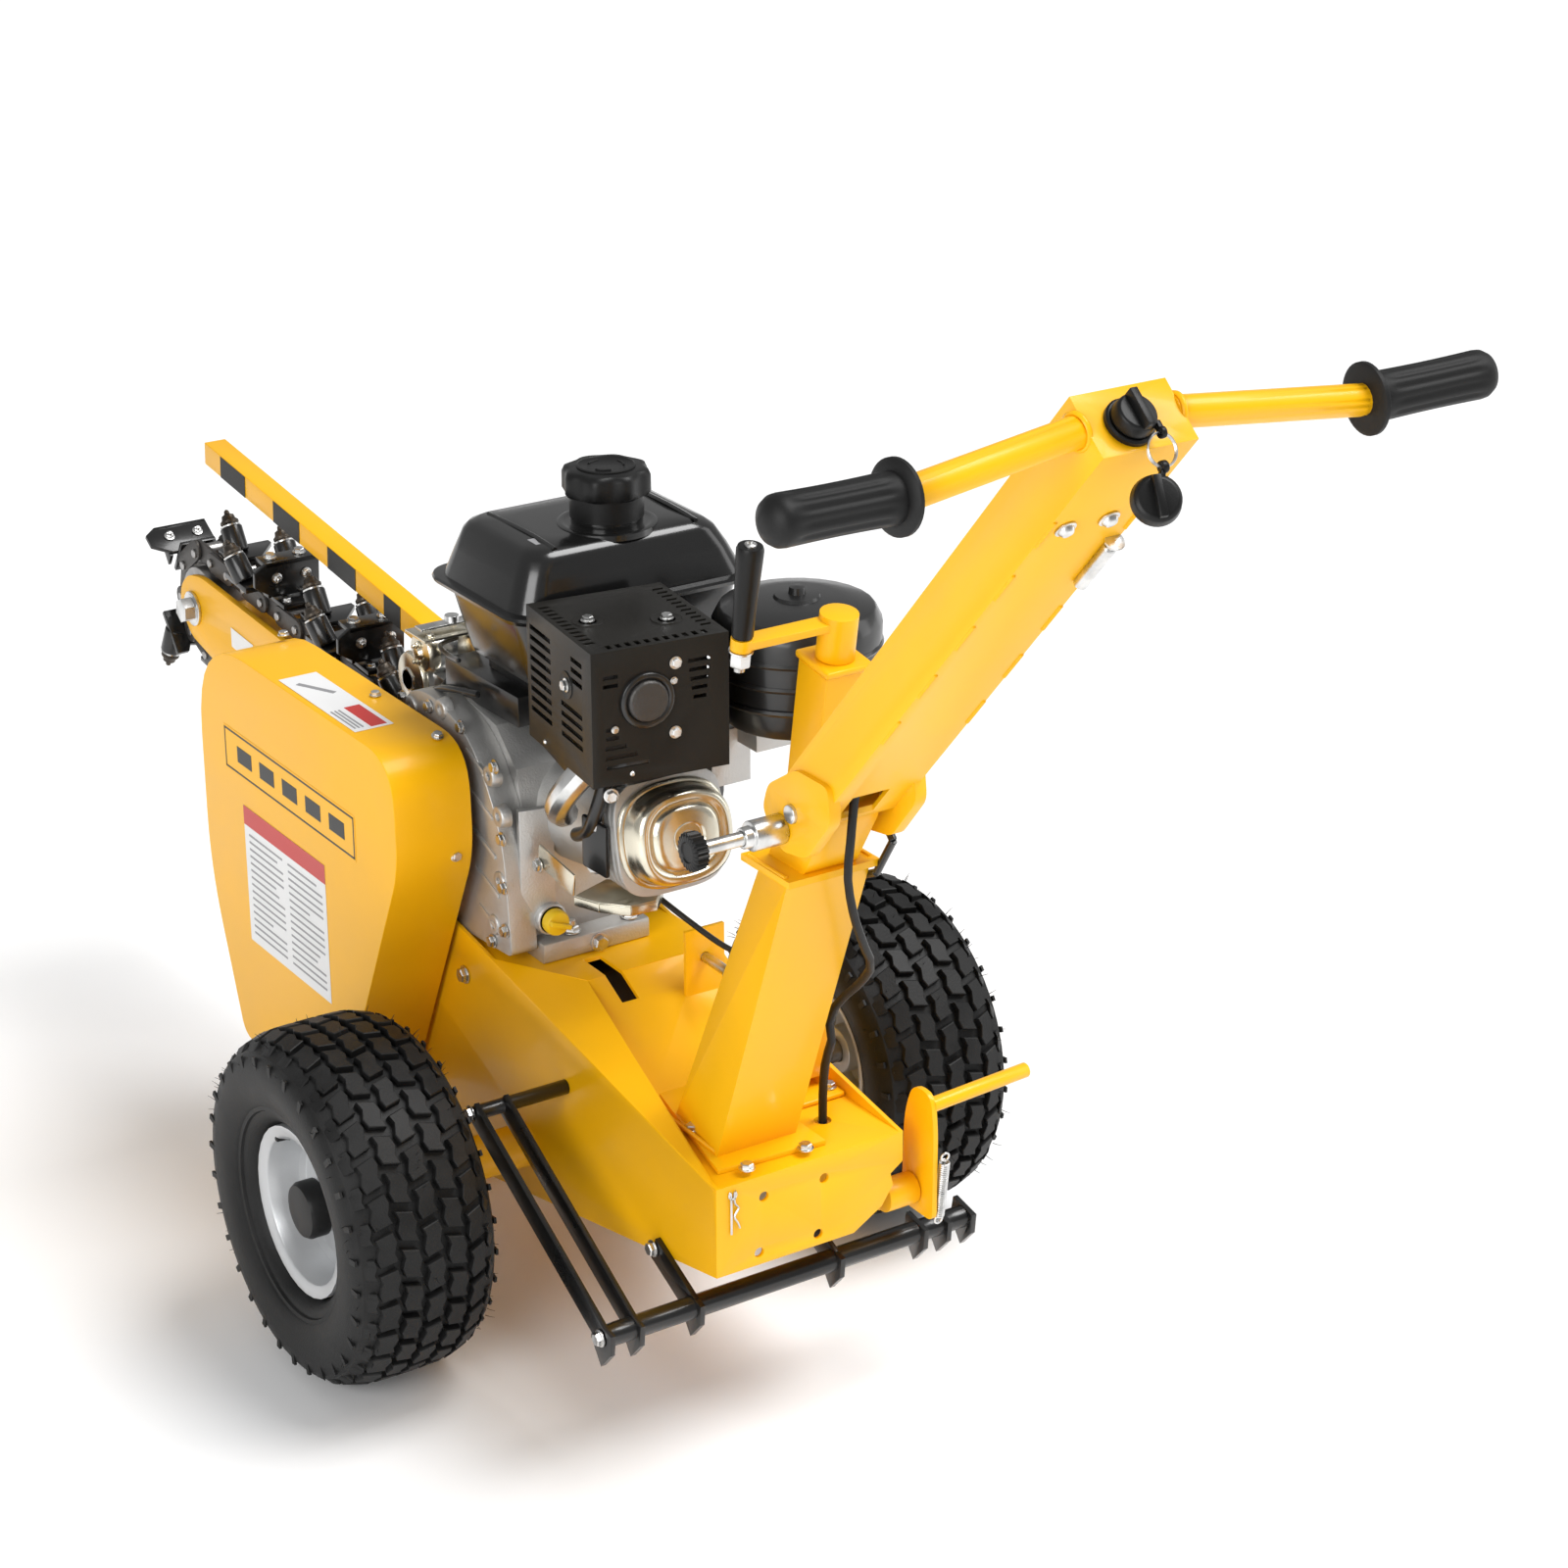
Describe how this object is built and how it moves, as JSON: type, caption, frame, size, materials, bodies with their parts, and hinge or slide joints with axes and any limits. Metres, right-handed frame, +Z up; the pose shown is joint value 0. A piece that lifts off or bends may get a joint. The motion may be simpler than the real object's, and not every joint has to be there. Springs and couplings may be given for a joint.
{
  "type": "walk-behind trencher",
  "caption": "Walk-behind trencher with a digging-chain boom ahead of a wheeled engine frame and a folding handle column behind.",
  "frame": {"origin": "middle of the bounding box at ground level", "axes": "+Z up, +X ahead of the machine towards the boom's nose, +Y to the operator's left"},
  "size_m": [1.7866, 0.71, 1.0873],
  "materials": {
    "yellow_paint": "gloss powder coat",
    "black_paint": "gloss powder coat",
    "black_satin": "satin heat-resistant paint",
    "rim_paint": "silver paint",
    "tyre_rubber": "matt",
    "rubber": "matt",
    "black_plastic": "fine grained",
    "yellow_plastic": "smooth",
    "zinc": "zinc plated",
    "steel": "plain",
    "cast": "sand cast",
    "cast_iron": "machined and bare",
    "gold_chromate": "yellow chromate"
  },
  "bodies": {
    "machine": {"chassis": "yellow_paint", "battery": "black_plastic", "parking_stand": "yellow_paint", "axle": "steel", "shaft_bearing_left": "cast_iron", "shaft_bearing_right": "cast_iron", "belt_guard": "yellow_paint", "drive_belt": "rubber", "crankcase": "cast", "side_cover": "cast", "valve_cover": "gold_chromate", "muffler_guard": "black_satin", "muffler": "steel", "exhaust_pipe": "zinc", "fuel_tank": "black_plastic", "air_cleaner": "black_plastic", "carburettor": "cast", "recoil_housing": "black_plastic", "recoil_handle": "black_plastic", "starter_motor": "zinc", "lower_column": "yellow_paint", "tilt_bolt": "zinc", "crank_post": "yellow_paint", "anchor_frame": "black_paint", "lock_spring": "zinc", "battery_cable": "rubber"},
    "wheel_left": {"tyre_left": "tyre_rubber", "rim_left": "rim_paint"},
    "wheel_right": {"tyre_right": "tyre_rubber", "rim_right": "rim_paint"},
    "engine_pulley": {"crankshaft_pulley": "steel"},
    "shaft": {"driven_pulley": "cast_iron", "drive_shaft": "steel", "drive_sprocket": "steel"},
    "boom": {"boom_frame": "yellow_paint", "digging_chain": "black_paint", "teeth_1": "black_paint", "teeth_2": "black_paint", "teeth_3": "black_paint", "teeth_4": "black_paint", "teeth_5": "black_paint", "teeth_6": "black_paint", "nose_bolt": "zinc", "safety_bar": "yellow_paint"},
    "roller": {"nose_roller": "steel"},
    "crank": {"crank_arm": "yellow_paint"},
    "crank_handle": {"crank_grip": "black_plastic"},
    "handlebar": {"upper_column": "yellow_paint", "grip_left": "rubber", "grip_right": "rubber", "key_switch": "black_plastic", "lock_pin_barrel": "zinc"},
    "pin": {"lock_pin": "steel"},
    "key": {"switch_key": "black_plastic"},
    "spare": {"spare_key": "black_plastic"},
    "pedal": {"lock_pedal": "yellow_paint"},
    "cap": {"fuel_cap": "black_plastic"},
    "dipstick": {"oil_dipstick": "yellow_plastic"},
    "throttle": {"throttle_lever": "zinc"}
  },
  "joints": [
    {"name": "wheel_left_spin", "type": "hinge", "parent": "machine", "child": "wheel_left", "pos_m": [-0.0609, 0.283, 0.168], "axis": [0, 1, 0], "continuous": true},
    {"name": "wheel_right_spin", "type": "hinge", "parent": "machine", "child": "wheel_right", "pos_m": [-0.0609, -0.283, 0.168], "axis": [0, 1, 0], "continuous": true},
    {"name": "shaft_spin", "type": "hinge", "parent": "machine", "child": "shaft", "pos_m": [0.3041, 0, 0.403], "axis": [0, 1, 0], "continuous": true},
    {"name": "engine_spin", "type": "hinge", "parent": "machine", "child": "engine_pulley", "pos_m": [0.0791, 0.14, 0.47], "axis": [0, 1, 0], "continuous": true},
    {"name": "boom_lift", "type": "hinge", "parent": "machine", "child": "boom", "pos_m": [0.3041, 0, 0.403], "axis": [0, 1, 0], "range_deg": [0, 45]},
    {"name": "roller_spin", "type": "hinge", "parent": "boom", "child": "roller", "pos_m": [0.7801, 0, 0.436], "axis": [0, 1, 0], "continuous": true},
    {"name": "crank_turn", "type": "hinge", "parent": "machine", "child": "crank", "pos_m": [-0.2669, -0.062, 0.2733], "axis": [-0.1564, 0, 0.9877], "range_deg": [0, 1800]},
    {"name": "crank_handle_spin", "type": "hinge", "parent": "crank", "child": "crank_handle", "pos_m": [-0.3362, 0.035, 0.71085], "axis": [-0.1564, 0, 0.9877], "continuous": true},
    {"name": "handle_tilt", "type": "hinge", "parent": "machine", "child": "handlebar", "pos_m": [-0.4799, 0, 0.65], "axis": [0, 1, 0], "range_deg": [-20, 20], "deforming": ["battery_cable"]},
    {"name": "lock_pin_pull", "type": "slide", "parent": "handlebar", "child": "pin", "axis": [0, 1, 0], "range_m": [0, 0.028], "stiffness_N_per_m": 400, "springref_m": -0.02},
    {"name": "key_turn", "type": "hinge", "parent": "handlebar", "child": "key", "pos_m": [-0.83791, 0.038, 1.05937], "axis": [-0.6581, 0, 0.7529], "range_deg": [-90, 0]},
    {"name": "spare_swing", "type": "hinge", "parent": "key", "child": "spare", "pos_m": [-0.86002, 0.026, 1.05731], "axis": [0, 1, 0], "range_deg": [0, 60]},
    {"name": "pedal_press", "type": "hinge", "parent": "machine", "child": "pedal", "pos_m": [-0.3749, -0.126, 0.2], "axis": [0, 1, 0], "range_deg": [-30, 0], "stiffness_Nm_per_rad": 4, "springref_deg": 20.05, "deforming": ["lock_spring"]},
    {"name": "cap_turn", "type": "hinge", "parent": "machine", "child": "cap", "pos_m": [-0.0099, -0.033, 0.752], "axis": [0, 0, 1], "range_deg": [0, 90]},
    {"name": "dipstick_turn", "type": "hinge", "parent": "machine", "child": "dipstick", "pos_m": [-0.0309, 0.05, 0.378], "axis": [1, 0, 0], "continuous": true},
    {"name": "throttle_move", "type": "hinge", "parent": "machine", "child": "throttle", "pos_m": [0.1601, 0.04, 0.611], "axis": [0, 0, 1], "range_deg": [-25, 25]}
  ],
  "couplings": [
    {"joint": "engine_spin", "follows": "shaft_spin", "ratio": 3.0526},
    {"joint": "roller_spin", "follows": "shaft_spin", "ratio": 1},
    {"joint": "crank_turn", "follows": "boom_lift", "ratio": 40},
    {"joint": "spare_swing", "follows": "key_turn", "ratio": -0.6667}
  ]
}
